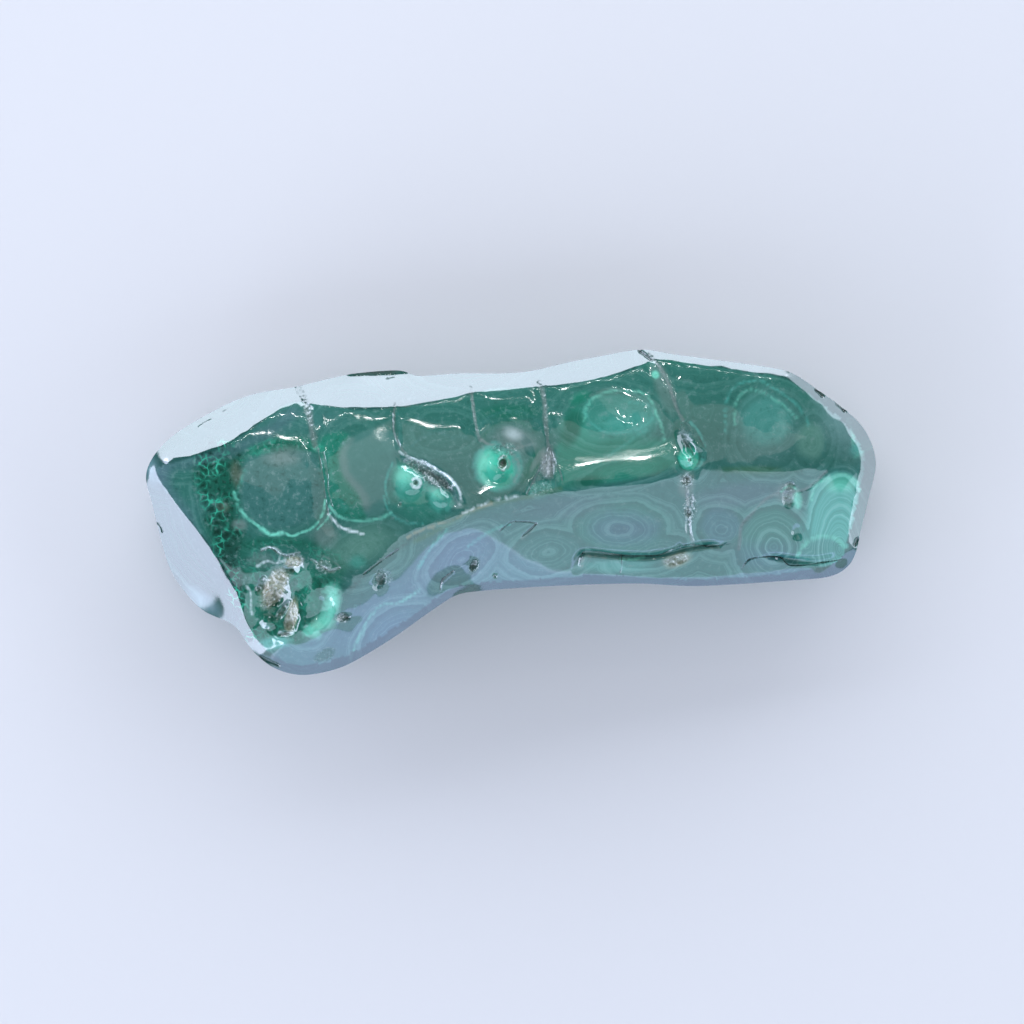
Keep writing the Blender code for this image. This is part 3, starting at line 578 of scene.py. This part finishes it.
# Smaller patches, in the order they are laid: centre, half sizes, turn, colour, strength, softness
patches = {
    "left": [
        ((190, 512), (14, 30), -70, "smoke", 0.5, 0.8), ((303, 420), (50, 16), 6, "smoke", 0.6, 0.6),
        ((284, 446), (24, 7), 3, "deep", 0.8, 0.7), ((284, 457), (20, 10), 5, "ash", 0.55, 0.7),
        ((237, 474), (6, 14), 10, "umber", 0.65, 0.6), ((224, 507), (7, 6), 0, "umber", 0.6, 0.6),
        ((240, 525), (8, 6), 0, "ash", 0.6, 0.6), ((284, 546), (36, 9), 0, "forest", 0.8, 0.6),
    ],
    "mottle": [
        ((362, 545), (40, 20), 22, "mottle", 0.65, 0.8), ((358, 562), (9, 7), 0, "fresh", 0.6, 0.7),
        ((326, 536), (14, 12), 0, "ash", 0.45, 0.6),
    ],
    "twinEyes": [
        ((430, 480), (44, 44), -20, "smoke", 0.35, 0.6), ((420, 500), (32, 24), -20, "leaf", 0.5, 0.7),
        # the mint patches up and to the left of each eye are painted highlights on their lit side, and the
        # leaf patch at (414, 498) is painted shade on the lower side
        ((410, 483), (17.5, 20), 0, "fresh", 0.9, 0.3), ((404, 476), (11, 12), 0, "mint", 0.6, 0.95),
        ((414, 498), (13, 10), 0, "leaf", 0.6, 0.8), ((441, 500), (14, 12), -35, "fresh", 0.85, 0.3),
        ((435, 493), (9, 6), -35, "mint", 0.55, 0.95), ((432, 479), (17, 5), -35, "ink", 0.45, 0.5),
    ],
    "dish": [
        ((510, 412), (30, 8), 0, "forest", 0.8, 0.6), ((512, 440), (28, 18), 0, "smoke", 0.45, 0.6),
        # the ash and pearl patches at (518, 440) and (513, 434) are a painted highlight, a soft glare on the
        # dish
        ((518, 440), (20, 11), -15, "ash", 0.5, 0.8), ((513, 434), (9, 6), -15, "pearl", 0.4, 0.95),
        ((532, 467), (7, 20), -28, "forest", 0.75, 0.35), ((537, 460), (3, 14), -30, "ash", 0.45, 0.5),
    ],
    "roundEye": [
        ((498, 467), (25, 25), 0, "lagoon", 0.6, 0.15), ((496, 469), (19, 20), 0, "bright", 0.92, 0.25),
        # the mint patch at (486, 460) is a painted highlight on the eye's lit upper left side, and the leaf
        # patch at (503, 480) is painted shade on its lower side
        ((486, 460), (8, 12), -20, "mint", 0.5, 0.95), ((503, 480), (10, 9), 0, "leaf", 0.6, 0.9),
        ((503, 464), (4.2, 6), 0, "umber", 0.8, 0.4), ((548, 462), (8, 15), 0, "rose", 0.65, 0.5),
        ((541, 489), (14, 8), 15, "fresh", 0.75, 0.35),
    ],
    "ovalDish": [
        ((620, 385), (50, 9), 5, "veil", 0.6, 0.5), ((612, 420), (46, 27), 4, "fresh", 0.42, 0.18),
        ((630, 424), (28, 15), 0, "lagoon", 0.25, 0.6), ((572, 427), (10, 22), -20, "deep", 0.75, 0.5),
        ((580, 398), (12, 6), 30, "jade", 0.8, 0.5), ((612, 446), (34, 8), 14, "jade", 0.6, 0.8),
        ((625, 474), (42, 7), 10, "leaf", 0.8, 0.5), ((586, 482), (20, 6), 8, "forest", 0.8, 0.6),
        ((664, 388), (9, 32), 18, "ash", 0.35, 0.5), ((655, 375), (4, 4), 0, "mint", 0.7, 0.5),
    ],
    "slot": [
        ((686, 433), (10, 17), 5, "veil", 0.75, 0.35), ((690, 455), (15, 17), 0, "forest", 0.6, 0.3),
        ((688, 459), (10.5, 11.5), 0, "bright", 0.95, 0.18), ((688, 458), (5, 5), 0, "mint", 0.6, 0.6),
        ((689, 460), (2, 2), 0, "forest", 0.9, 0.5), ((686, 484), (9, 14), 0, "ash", 0.55, 0.5),
    ],
    "right": [
        ((740, 430), (46, 46), 0, "veil", 0.5, 0.6), ((770, 424), (35, 38), -25, "haze", 0.75, 0.25),
        ((765, 420), (26, 27), -30, "lagoon", 0.35, 0.35), ((765, 458), (58, 12), 0, "haze", 0.5, 0.8),
        ((811, 441), (15, 19), 0, "mottle", 0.55, 0.4), ((750, 470), (34, 4), 0, "olive", 0.6, 0.6),
        # the pale patch at the right end, (846, 424), is painted reflection, a bluish haze on the end
        ((846, 424), (26, 42), 32, "reflectionFog", 0.4, 0.9),
    ],
    "ends": [
        # the slate patch at the left tip, (158, 471), is painted reflection, a bluish haze inside the
        # shoulder
        ((158, 471), (15, 18), 0, "slate", 0.75, 0.9), ((860, 447), (11, 7), 40, "lagoon", 0.6, 0.6),
        ((837, 514), (28, 42), -4, "lagoon", 0.85, 0.2), ((840, 484), (17, 9), 0, "mint", 0.55, 0.6),
        ((818, 551), (30, 15), 8, "teal", 0.5, 0.4), ((774, 535), (33, 32), 0, "leaf", 0.35, 0.3),
        ((768, 556), (34, 16), 0, "steel", 0.6, 0.8), ((230, 556), (13, 44), 12, "ink", 0.45, 0.8),
    ],
    "lobes": [
        ((786, 493), (12, 10), 0, "ash", 0.6, 0.5), ((797, 500), (5, 10), 0, "mint", 0.55, 0.5),
        ((740, 495), (48, 14), 8, "slate", 0.55, 0.6),
    ],
    "front": [
        ((622, 526), (50, 27), 0, "leaf", 0.25, 0.2), ((624, 529), (40, 19), 0, "steel", 0.5, 0.4),
        ((626, 529), (30, 9), 0, "violet", 0.5, 0.8), ((721, 525), (20, 18), 0, "steel", 0.5, 0.25),
        ((548, 553), (36, 18), 8, "teal", 0.35, 0.4), ((560, 508), (50, 14), 6, "slate", 0.4, 0.7),
        ((458, 555), (50, 26), 33, "violet", 0.5, 0.95), ((372, 620), (60, 38), 30, "steel", 0.5, 0.95),
        ((392, 636), (30, 18), 33, "steel", 0.5, 0.5),
    ],
    "cracks": [
        ((677, 560), (15, 7), 15, "tan", 0.6, 0.5), ((620, 566), (38, 7), 0, "lagoon", 0.4, 0.6),
    ],
    "heel": [
        ((280, 558), (40, 14), 0, "smoke", 0.6, 0.8), ((262, 560), (12, 8), 0, "ash", 0.4, 0.9),
        ((316, 588), (17, 20), 0, "deep", 0.75, 0.6), ((303, 578), (14, 13), 0, "jade", 0.9, 0.7),
        ((313, 603), (10, 16), 10, "jade", 0.9, 0.7), ((289, 592), (5, 22), -35, "deep", 0.7, 0.5),
        ((274, 588), (22, 11), 60, "tan", 0.8, 0.3), ((268, 592), (7, 5), 60, "rust", 0.6, 0.7),
        ((292, 616), (18, 6), 80, "tan", 0.75, 0.35), ((294, 562), (9, 6), 10, "tan", 0.75, 0.4),
        ((255, 606), (10, 20), -10, "jade", 0.7, 0.7), ((275, 643), (17, 7), 10, "lagoon", 0.85, 0.5),
        ((343, 618), (7, 5), 20, "ash", 0.6, 0.5),
    ],
}
for at, size, turn, colour, strength, soft in sum(patches.values(), []):
    lay(ovalMask(at, size, turn, soft), colour, strength)

# Lines and crescents: route, width in the photograph, colour, strength, and softness if it isn't 0.5
strokes = {
    "left": [
        ([(235, 492), (239, 506), (249, 519), (264, 529), (271, 535), (283, 532), (292, 536), (301, 533),
         (314, 527), (323, 514), (326, 500)], 1.8, "mint", 0.75),
        ([(262, 528), (272, 534), (284, 533)], 3.4, "mint", 0.6, 0.7),
        ([(246, 470), (241, 484), (236, 496)], 2.0, "fresh", 0.6),
    ],
    "second": [
        ([(330, 506), (341, 517), (361, 521), (381, 518), (392, 512)], 2.0, "mint", 0.55),
        # the pearl arc is a painted highlight on the lobe's glossy lip
        ([(329, 514), (334, 520), (341, 527), (352, 531), (364, 534)], 1.6, "pearl", 0.85, 0.4),
        ([(331, 513), (326, 521), (318, 529)], 1.3, "mint", 0.5, 0.4),
        ([(350, 440), (343, 454), (347, 474), (359, 490), (367, 506)], 7.0, "ash", 0.4, 0.9),
        ([(330, 452), (332, 474), (337, 494), (346, 508)], 3.0, "fresh", 0.3, 0.8),
        ([(322, 453), (325, 462), (327, 474)], 1.4, "ash", 0.5),
    ],
    "twinEyes": [
        ([(393, 463), (387, 478), (386, 490), (390, 503)], 1.6, "lagoon", 0.6, 0.4),
        ([(384, 496), (389, 510), (402, 521), (424, 524)], 1.6, "lagoon", 0.5, 0.4),
        # the pearl arc round the hollow is a painted highlight on its rim
        ([(400, 452), (406, 456), (423, 463), (441, 472), (449, 477), (457, 486), (461, 497), (458, 507)],
         1.7, "pearl", 0.75, 0.4),
        ([(410, 458), (424, 468), (440, 481)], 1.4, "ash", 0.6, 0.4),
        ([(413, 480), (416, 478), (420, 480), (421, 484), (418, 488), (414, 487), (412, 484)], 2.0, "pearl",
         0.75),
    ],
    "roundEye": [
        ([(499, 459), (503, 456), (508, 460), (509, 466), (504, 471), (499, 468)], 1.8, "ash", 0.7),
        ([(489, 452), (483, 460), (481, 472), (486, 482)], 4.0, "mint", 0.4, 0.7),
        ([(482, 440), (490, 445), (500, 444), (512, 449), (522, 447), (532, 444)], 1.8, "ash", 0.6),
        ([(510, 452), (517, 460), (519, 470), (514, 482)], 2.0, "ash", 0.5),
        ([(482, 424), (492, 416), (508, 411), (526, 414), (540, 424)], 2.0, "teal", 0.5),
        ([(484, 436), (494, 426), (510, 421), (524, 424), (536, 432)], 2.0, "forest", 0.6),
        ([(412, 446), (424, 437), (440, 433), (452, 438), (462, 436), (470, 440)], 1.6, "teal", 0.6),
    ],
    "ovalDish": [
        ([(584, 420), (588, 404), (604, 393), (626, 391), (646, 395), (655, 412), (662, 429), (664, 440)],
         1.6, "mint", 0.4),
        ([(584, 410), (590, 422), (604, 432), (622, 433), (640, 428), (652, 418), (648, 406), (630, 402)],
         1.6, "lagoon", 0.4),
        ([(608, 456), (626, 444), (646, 430)], 2.0, "lagoon", 0.4),
    ],
    "slot": [
        ([(684, 417), (677, 428), (674, 440), (675, 458), (681, 470)], 2.0, "forest", 0.7),
        ([(690, 423), (698, 432), (704, 446), (702, 460), (695, 470)], 2.4, "lagoon", 0.55),
        ([(698, 437), (704, 448), (703, 458)], 1.6, "ink", 0.6),
    ],
    "right": [
        ([(725, 432), (725, 412), (728, 395), (739, 384), (758, 381), (776, 390), (793, 402), (803, 414),
         (808, 426)], 1.8, "lagoon", 0.5),
        ([(734, 425), (735, 406), (741, 394), (752, 390), (765, 394), (782, 405), (797, 418)], 1.4, "mint",
         0.3),
        ([(820, 424), (826, 438), (822, 456)], 1.6, "teal", 0.5),
    ],
    "lobes": [
        ([(811, 500), (814, 488), (826, 479), (843, 475), (855, 481), (862, 494)], 2.0, "mint", 0.55),
        ([(806, 492), (807, 510), (803, 530), (795, 548), (787, 562)], 2.2, "teal", 0.6),
        ([(798, 556), (806, 543), (822, 536), (838, 540), (848, 552)], 3.0, "mint", 0.5),
        ([(781, 492), (788, 486), (796, 490), (796, 500), (799, 508)], 1.8, "mint", 0.65),
    ],
    "ridge": [
        ([(415, 541), (440, 529), (470, 512), (500, 502), (528, 497), (560, 489)], 4.0, "olive", 0.6, 0.6),
        ([(350, 590), (364, 575), (380, 562), (400, 548), (418, 534)], 2.4, "ink", 0.5),
        ([(418, 569), (431, 548), (448, 529)], 2.0, "lagoon", 0.7),
        ([(466, 548), (480, 538), (498, 528), (510, 524)], 2.0, "lagoon", 0.55),
        ([(536, 524), (530, 531), (522, 538)], 2.2, "ash", 0.5),
        # the tan and pearl lines along the ridge are a painted highlight, the glint on its crest
        ([(407, 537), (430, 527), (452, 519), (470, 511), (492, 503)], 1.8, "tan", 0.55),
        ([(456, 517), (470, 510), (490, 502), (506, 498), (521, 495)], 1.1, "pearl", 0.7, 0.6),
    ],
    "rimsAndPaintedLight": [
        ([(205, 594), (220, 609), (237, 620)], 1.3, "slate", 0.7),
        # the two broad slate lines are painted reflection, a bluish haze along the shoulder of the back and
        # left facets
        ([(163, 464), (190, 462), (215, 456), (245, 445), (272, 430), (292, 413)], 11.0, "slate", 0.45,
         0.95),
        ([(160, 478), (178, 503), (200, 540), (216, 568), (230, 592)], 10.0, "slate", 0.45, 0.95),
        # the ink line along the bottom strip is painted shade
        ([(680, 585), (720, 584), (765, 582), (810, 580), (846, 577)], 7.0, "ink", 0.7, 0.6),
    ],
    "front": [
        ([(350, 660), (354, 648), (359, 638), (371, 616), (384, 604), (400, 602), (420, 590)], 1.4, "mint",
         0.4),
        ([(470, 566), (480, 556), (494, 550)], 1.4, "teal", 0.5),
        ([(582, 566), (584, 558), (592, 556), (606, 558)], 2.0, "ash", 0.6),
        ([(621, 559), (634, 559), (644, 557)], 2.0, "mint", 0.45),
    ],
    "heel": [
        ([(333, 592), (332, 606), (325, 620), (313, 630)], 12.0, "mint", 0.8, 0.8),
        ([(322, 622), (315, 628), (308, 631)], 9.0, "mint", 0.6, 0.8),
        ([(258, 566), (268, 561), (276, 563), (286, 560)], 2.0, "pearl", 0.5),
        ([(247, 586), (251, 594), (251, 606), (252, 614)], 1.4, "pearl", 0.5),
        ([(262, 549), (270, 547), (278, 549), (281, 555), (278, 563)], 1.1, "pearl", 0.45),
        ([(285, 558), (293, 554), (302, 557), (303, 564)], 1.4, "ash", 0.7),
        ([(315, 560), (322, 566), (330, 570), (337, 568)], 1.4, "ash", 0.6),
        ([(324, 556), (332, 560), (340, 566)], 1.1, "ash", 0.5),
        ([(272, 610), (282, 600), (292, 590), (298, 580)], 2.0, "forest", 0.6),
        ([(280, 632), (286, 635), (293, 633)], 2.0, "pearl", 0.6),
    ],
    "ends": [
        ([(846, 418), (852, 430), (853, 444)], 2.0, "mint", 0.45),
        ([(872, 446), (864, 452), (856, 456)], 2.0, "mint", 0.4),
    ],
}
broken = np.clip(0.85 + 1.1 * crumbs, 0.25, 1)  # thin lines are broken up by the grain
broadLine = 4
for route, wide, colour, strength, *soft in sum(strokes.values(), []):
    lay(strokeMask(route, wide, *soft) * (broken if wide < broadLine else 1), colour, strength)
for mask, colour, strength in ((seamMask, "flint", 0.5), (sparkle, "ash", 0.25), (pitMask, "umber", 0.35),
                               (crackMask, "ink", 0.95)):
    lay(mask * upward, colour, strength)
underside = np.clip(-facing[:, 2] * 2 - 0.9, 0, 1)
dull = np.maximum(dull, 0.35 * underside)
print("painted:", len(regions) + sum(map(len, [*patches.values(), *strokes.values()])), "areas and lines")


def setAttribute(mesh, name, values):
    # one number or one colour for each point
    form, field = "FLOAT", "value"
    if values.ndim == 2:
        form, field = "FLOAT_COLOR", "color"
        values = np.concatenate([values, np.ones((len(values), 1))], axis=1)
    mesh.attributes.new(name, form, "POINT").data.foreach_set(field, values.astype(np.float32).ravel())


# The ground facets are dark and show hardly any bands, which come back down the flank
shoulderLine = softLine(groundEdges["shoulder"], 0.3, closed=True)
offFace = ~insideLine(plan, shoulderLine) & (facing[:, 2] > skin["upFacing"])
flankShare = np.where(facing[:, 2] < skin["upFacing"], ease(*facets["flank"], place[:, 2]), 0.0)
facetShare = np.where(offFace, 1.0, flankShare)
lay(facetShare, facets["colour"], facets["strength"])
bandStrength *= 1 - facets["fewerBands"] * facetShare
cloudStrength *= 1 - facets["fewerClouds"] * facetShare
# Painted reflection: a pale bluish haze laid on the facets at the notch and the left tip, standing in for the
# panels mirrored there
facetReflections = {
    "notchReflection": ((205, 604), (22, 9), -42, "reflectionMist", 0.75, 0.8),
    "leftTip": ((149, 466), (8, 18), 15, "reflectionMist", 0.75, 0.8),
}
for at, size, turn, colour, strength, soft in facetReflections.values():
    lay(ovalMask(at, size, turn, soft) * offFace, colour, strength)
layers = {"paint": paint, "growth": growthDepth(place), "bands": bandStrength, "clouds": cloudStrength,
          "cells": cellStrength, "dull": np.clip(dull + 0.5 * pitMask, 0, 1), "sparkle": sparkle}
for name, values in layers.items():
    setAttribute(stoneMesh, name, values)


# Materials
class Value:
    # a socket that does sums, adding the nodes for them

    def __init__(self, tree, socket):
        self.tree = tree
        self.socket = socket

    def sum(self, operation, other, swapped=False, clamp=False):
        made = self.tree.nodes.new("ShaderNodeMath")
        made.operation = operation
        made.use_clamp = clamp
        for slot, item in zip(made.inputs, (other, self) if swapped else (self, other)):
            if isinstance(item, Value):
                self.tree.links.new(item.socket, slot)
            else:
                slot.default_value = item
        return Value(self.tree, made.outputs[0])

    def __add__(self, other):
        return self.sum("ADD", other)

    __radd__ = __add__

    def __mul__(self, other):
        return self.sum("MULTIPLY", other)

    __rmul__ = __mul__

    def __sub__(self, other):
        return self.sum("SUBTRACT", other)

    def __rsub__(self, other):
        return self.sum("SUBTRACT", other, swapped=True)

    def limited(self):
        return self.sum("ADD", 0.0, clamp=True)


class Shader:
    # one material's nodes

    def __init__(self, name):
        self.material = bpy.data.materials.new(name)
        self.material.use_nodes = True
        self.tree = self.material.node_tree
        self.tree.nodes.clear()

    def node(self, kind, settings=None, sockets=None, output=0):
        made = self.tree.nodes.new(kind)
        for key, value in (settings or {}).items():
            setattr(made, key, value)
        for key, value in (sockets or {}).items():
            if isinstance(value, Value):
                self.tree.links.new(value.socket, made.inputs[key])
            else:
                made.inputs[key].default_value = value
        return Value(self.tree, made.outputs[output]) if len(made.outputs) else None

    def attribute(self, name, output=2):
        # output 2 is the number, output 0 the colour
        return self.node("ShaderNodeAttribute", {"attribute_name": name}, output=output)

    def mix(self, factor, first, second, kind="MIX"):
        return self.node("ShaderNodeMix", {"data_type": "RGBA", "blend_type": kind},
                         {0: factor, 6: first, 7: second}, output=2)

    def noise(self, where, scale, detail=3.0, roughness=0.5, output=0):
        return self.node("ShaderNodeTexNoise", {}, {
            "Vector": where, "Scale": scale, "Detail": detail, "Roughness": roughness}, output)

    def bent(self, where, scale, amount):
        # coordinates pushed about by noise, so that cells and lines aren't straight
        push = self.node("ShaderNodeVectorMath", {"operation": "SUBTRACT"},
                         {0: self.noise(where, scale, 2.0, output=1), 1: (0.5, 0.5, 0.5)})
        push = self.node("ShaderNodeVectorMath", {"operation": "SCALE"}, {0: push, "Scale": amount})
        return self.node("ShaderNodeVectorMath", {"operation": "ADD"}, {0: where, 1: push})


stoneLook = {
    "pale": (0.3, 0.56, 0.48), "shade": (0.2, 0.42, 0.38), "cloud": (0.16, 0.26, 0.23),
    "cellLine": (0.03, 0.3, 0.18), "sparkle": (0.62, 0.7, 0.64), "speck": (0.012, 0.03, 0.022),
    "bandsPerMm": 0.85, "bandWander": 1.6, "fineWander": 0.3, "bandSwing": 3.4, "bend": 0.0009,
    "roughness": 0.06, "dullRoughness": 0.34, "scuff": 0.04, "index": 1.85, "relief": 0.0002,
}
# Lumps per metre in each of the noises
lumps = {"bend": 700.0, "bands": 240.0, "fineBands": 1100.0, "clouds": 950.0, "cells": 760.0, "walls": 900.0,
         "patches": 300.0, "specks": 2400.0, "scuffs": 420.0, "relief": 1700.0}


def malachite():
    look = stoneLook
    shader = Shader("malachite")
    where = shader.node("ShaderNodeTexCoord", output=3)
    bent = shader.bent(where, lumps["bend"], look["bend"])
    dullness = shader.attribute("dull")
    clouds = shader.attribute("clouds")
    bandShare = shader.attribute("bands")
    cells = shader.attribute("cells")
    sparkle = shader.attribute("sparkle")
    paintColour = shader.attribute("paint", 0)

    # colour bands that run round the growths
    path = shader.attribute("growth") + (shader.noise(where, lumps["bands"]) - 0.5) * look["bandWander"]
    path = path + (shader.noise(where, lumps["fineBands"], 2.0) - 0.5) * look["fineWander"]
    bands = shader.node("ShaderNodeTexNoise", {"noise_dimensions": "1D"}, {
        "W": path * look["bandsPerMm"], "Scale": 1.0, "Detail": 5.0, "Roughness": 0.62})
    swing = (bands - 0.5) * look["bandSwing"]
    lighter = shader.mix(0.55, paintColour, (*look["pale"], 1.0))
    darker = shader.mix(1.0, paintColour, (*look["shade"], 1.0), "MULTIPLY")
    colour = shader.mix((swing * bandShare).limited(), paintColour, lighter)
    colour = shader.mix((-1.0 * swing * bandShare).limited(), colour, darker)

    # clouds and specks
    cloud = shader.noise(bent, lumps["clouds"], 5.0, 0.68)
    colour = shader.mix(((cloud - 0.54) * 5.0 * clouds).limited(), colour, (*look["cloud"], 1.0))
    darkCloud = shader.mix(1.0, colour, (*look["shade"], 1.0), "MULTIPLY")
    colour = shader.mix(((0.46 - cloud) * 6.0 * clouds).limited(), colour, darkCloud)

    # cells with bright walls
    wall = shader.node("ShaderNodeTexVoronoi", {"feature": "DISTANCE_TO_EDGE"},
                       {"Vector": bent, "Scale": lumps["cells"]})
    thick = shader.noise(where, lumps["walls"], 2.0) * 0.34 - 0.07
    wallMask = ((thick - wall) * 9.0).limited() * cells
    inner = shader.mix(1.0, colour, (*look["shade"], 1.0), "MULTIPLY")
    colour = shader.mix(((wall - 0.16) * 4.0 * cells).limited(), colour, inner)
    patchy = ((shader.noise(where, lumps["patches"], 2.0) - 0.46) * 7.0).limited()
    colour = shader.mix(wallMask * patchy, colour, (*look["cellLine"], 1.0))

    # pale specks painted in as the glints of crystals where the stone is broken, with dark specks among them
    speck = shader.noise(where, lumps["specks"], 3.0, 0.7)
    colour = shader.mix(((speck - 0.55) * 11.0 * sparkle).limited(), colour, (*look["sparkle"], 1.0))
    colour = shader.mix(((0.46 - speck) * 9.0 * (sparkle + dullness * 0.3)).limited(), colour,
                        (*look["speck"], 1.0))

    # a high polish with faint scuffs, dull and grainy where the stone is broken
    scuff = shader.noise(where, lumps["scuffs"], 4.0, 0.7)
    rough = look["roughness"] + dullness * look["dullRoughness"] + (scuff - 0.5) * look["scuff"]
    relief = (shader.noise(where, lumps["relief"], 4.0, 0.6) - 0.5) * (dullness + 0.012)
    bump = shader.node("ShaderNodeBump", {}, {"Strength": 0.6, "Distance": look["relief"], "Height": relief})
    surface = shader.node("ShaderNodeBsdfPrincipled", {}, {
        "Base Color": colour, "Roughness": rough, "IOR": look["index"], "Normal": bump})
    shader.node("ShaderNodeOutputMaterial", {}, {"Surface": surface})
    return shader.material


def addObject(name, data):
    made = bpy.data.objects.new(name, data)
    bpy.context.scene.collection.objects.link(made)
    return made


stone = addObject(skin["name"], stoneMesh)
stoneMesh.materials.clear()
stoneMesh.materials.append(malachite())
stoneMesh.polygons.foreach_set("use_smooth", [True] * len(stoneMesh.polygons))
stoneMesh.edges.foreach_set("use_edge_sharp", (kind[ends] == kinds["rim"]).all(axis=1))
stoneMesh.update()
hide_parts("malachite_stone")
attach(stone, "root")
print("stone finished")

# Floor, lights and camera, in metres; scaleHeight is where the photograph's scale is exact
studio = {
    "floorColour": (0.58, 0.57, 0.56), "floorSize": 4.0, "world": (0.7, 0.8, 0.9), "worldStrength": 0.12,
    "cameraHeight": 2.5, "sensor": 36.0, "scaleHeight": 0.015, "aim": (0.0, 0.0, 0.012),
    "white": (1.0, 1.0, 1.0),
}
# Soft lights: place, size, glow and colour. Glow is how bright a light looks; its power follows from
# its size.
lamps = {
    "backPanel": ((-0.3, 1.7, 0.49), (3.6, 0.98), 8.2, (0.78, 0.84, 0.99)),
    "leftPanel": ((-1.6, -0.4, 0.46), (4.4, 0.92), 7.2, (0.73, 0.78, 1.0)),
    "frontPanel": ((0.2, -1.35, 0.87), (3.0, 1.13), 1.6, (0.68, 0.82, 1.0)),
    "frontLow": ((0.0, -1.6, 0.2), (3.6, 0.38), 3.0, (0.56, 0.64, 1.0)),
    "rightPanel": ((1.66, 0.24, 0.5), (3.8, 1.1), 4.2, (0.76, 0.83, 1.0)),
    "ceiling": ((0.1, 0.1, 2.2), (2.2, 1.5), 0.5, (0.95, 0.97, 1.0)),
}
# Small bright lamps, each standing where the polished skin mirrors it at one spot of the photograph, or
# stretched between the mirrored places of two spots
glints = {
    "streak": {"spots": [(607, 461), (662, 445)], "reach": 1.6, "wide": 0.004, "glow": 22.0},
    "streakBulb": {"spots": [(585, 464)], "reach": 1.6, "wide": 0.02, "glow": 90.0},
    "dishBulb": {"spots": [(625, 394)], "reach": 1.6, "wide": 0.025, "glow": 90.0},
}
# Rows of small lamps high behind the stone
rows = {
    "high": {"from": (-0.75, 1.5, 1.28), "to": (0.75, 1.5, 1.28), "count": 16, "wide": 0.014, "glow": 110.0},
    "higher": {"from": (-1.2, 1.2, 1.75), "to": (-0.1, 1.2, 1.75), "count": 14, "wide": 0.014, "glow": 110.0},
}

floorMesh = bpy.data.meshes.new("floor")
bm = bmesh.new()
bmesh.ops.create_grid(bm, x_segments=1, y_segments=1, size=studio["floorSize"] / 2)
bm.to_mesh(floorMesh)
bm.free()
floor = addObject("floor", floorMesh)
floorShader = Shader("paleFloor")
floorSurface = floorShader.node("ShaderNodeBsdfPrincipled", {}, {
    "Base Color": (*studio["floorColour"], 1.0), "Roughness": 0.75})
floorShader.node("ShaderNodeOutputMaterial", {}, {"Surface": floorSurface})
floorMesh.materials.append(floorShader.material)


def addLamp(name, at, size, glow, colour=studio["white"], lengthwise=None):
    # a soft rectangle of light that faces the stone, its long side laid along a direction if one is given
    light = bpy.data.lights.new(name, "AREA")
    light.shape = "RECTANGLE"
    light.size, light.size_y = size
    light.energy = glow * math.pi * size[0] * size[1]
    light.color = colour
    holder = addObject(name, light)
    holder.location = at
    outward = (Vector(at) - Vector(studio["aim"])).normalized()
    if lengthwise is None:
        holder.rotation_euler = (-outward).to_track_quat("-Z", "Y").to_euler()
    else:
        across = outward.cross(lengthwise).normalized()
        side = across.cross(outward)
        holder.rotation_euler = Matrix((side, across, outward)).transposed().to_euler()
    holder.visible_camera = False


def mirroredPlace(spot, reach):
    # where a lamp must stand for the camera to see its reflection at one spot of the stone
    near = (np.linalg.norm(plan - fromPhoto(spot), axis=1) < 0.7) & (facing[:, 2] > skin["upFacing"])
    normal = Vector(facing[near].mean(axis=0)).normalized()
    seen = Vector(place[near].mean(axis=0)) * mm
    view = (seen - cameraPlace).normalized()
    return seen + reach * (view - 2 * view.dot(normal) * normal)


cameraPlace = Vector((*(fromPhoto((photo["side"] / 2, photo["side"] / 2)) * mm), studio["cameraHeight"]))
facing = pointNormals(stoneMesh)
for name, lamp in lamps.items():
    addLamp(name, *lamp)
for name, glint in glints.items():
    spots = [mirroredPlace(spot, glint["reach"]) for spot in glint["spots"]]
    stretch = spots[-1] - spots[0]
    size = (max(stretch.length, glint["wide"]), glint["wide"])
    lengthwise = stretch if len(spots) > 1 else None
    addLamp(name, (spots[0] + spots[-1]) / 2, size, glint["glow"], lengthwise=lengthwise)
for name, row in rows.items():
    for share in np.linspace(0, 1, row["count"]):
        at = Vector(row["from"]).lerp(Vector(row["to"]), share)
        addLamp(name, at, (row["wide"], row["wide"]), row["glow"])

world = bpy.data.worlds.new("studioAir")
world.use_nodes = True
air = world.node_tree.nodes["Background"].inputs
air["Color"].default_value = (*studio["world"], 1.0)
air["Strength"].default_value = studio["worldStrength"]
bpy.context.scene.world = world
bpy.context.scene.view_settings.view_transform = "Standard"

camera = bpy.data.cameras.new("overhead")
camera.sensor_width = studio["sensor"]
frameWide = photo["side"] * photo["mmPerPixel"] * mm
camera.lens = studio["sensor"] * (studio["cameraHeight"] - studio["scaleHeight"]) / frameWide
camera.clip_start = 0.1
camera.clip_end = 20
bpy.context.scene.camera = addObject("overhead", camera)
bpy.context.scene.camera.location = cameraPlace
print("studio ready")
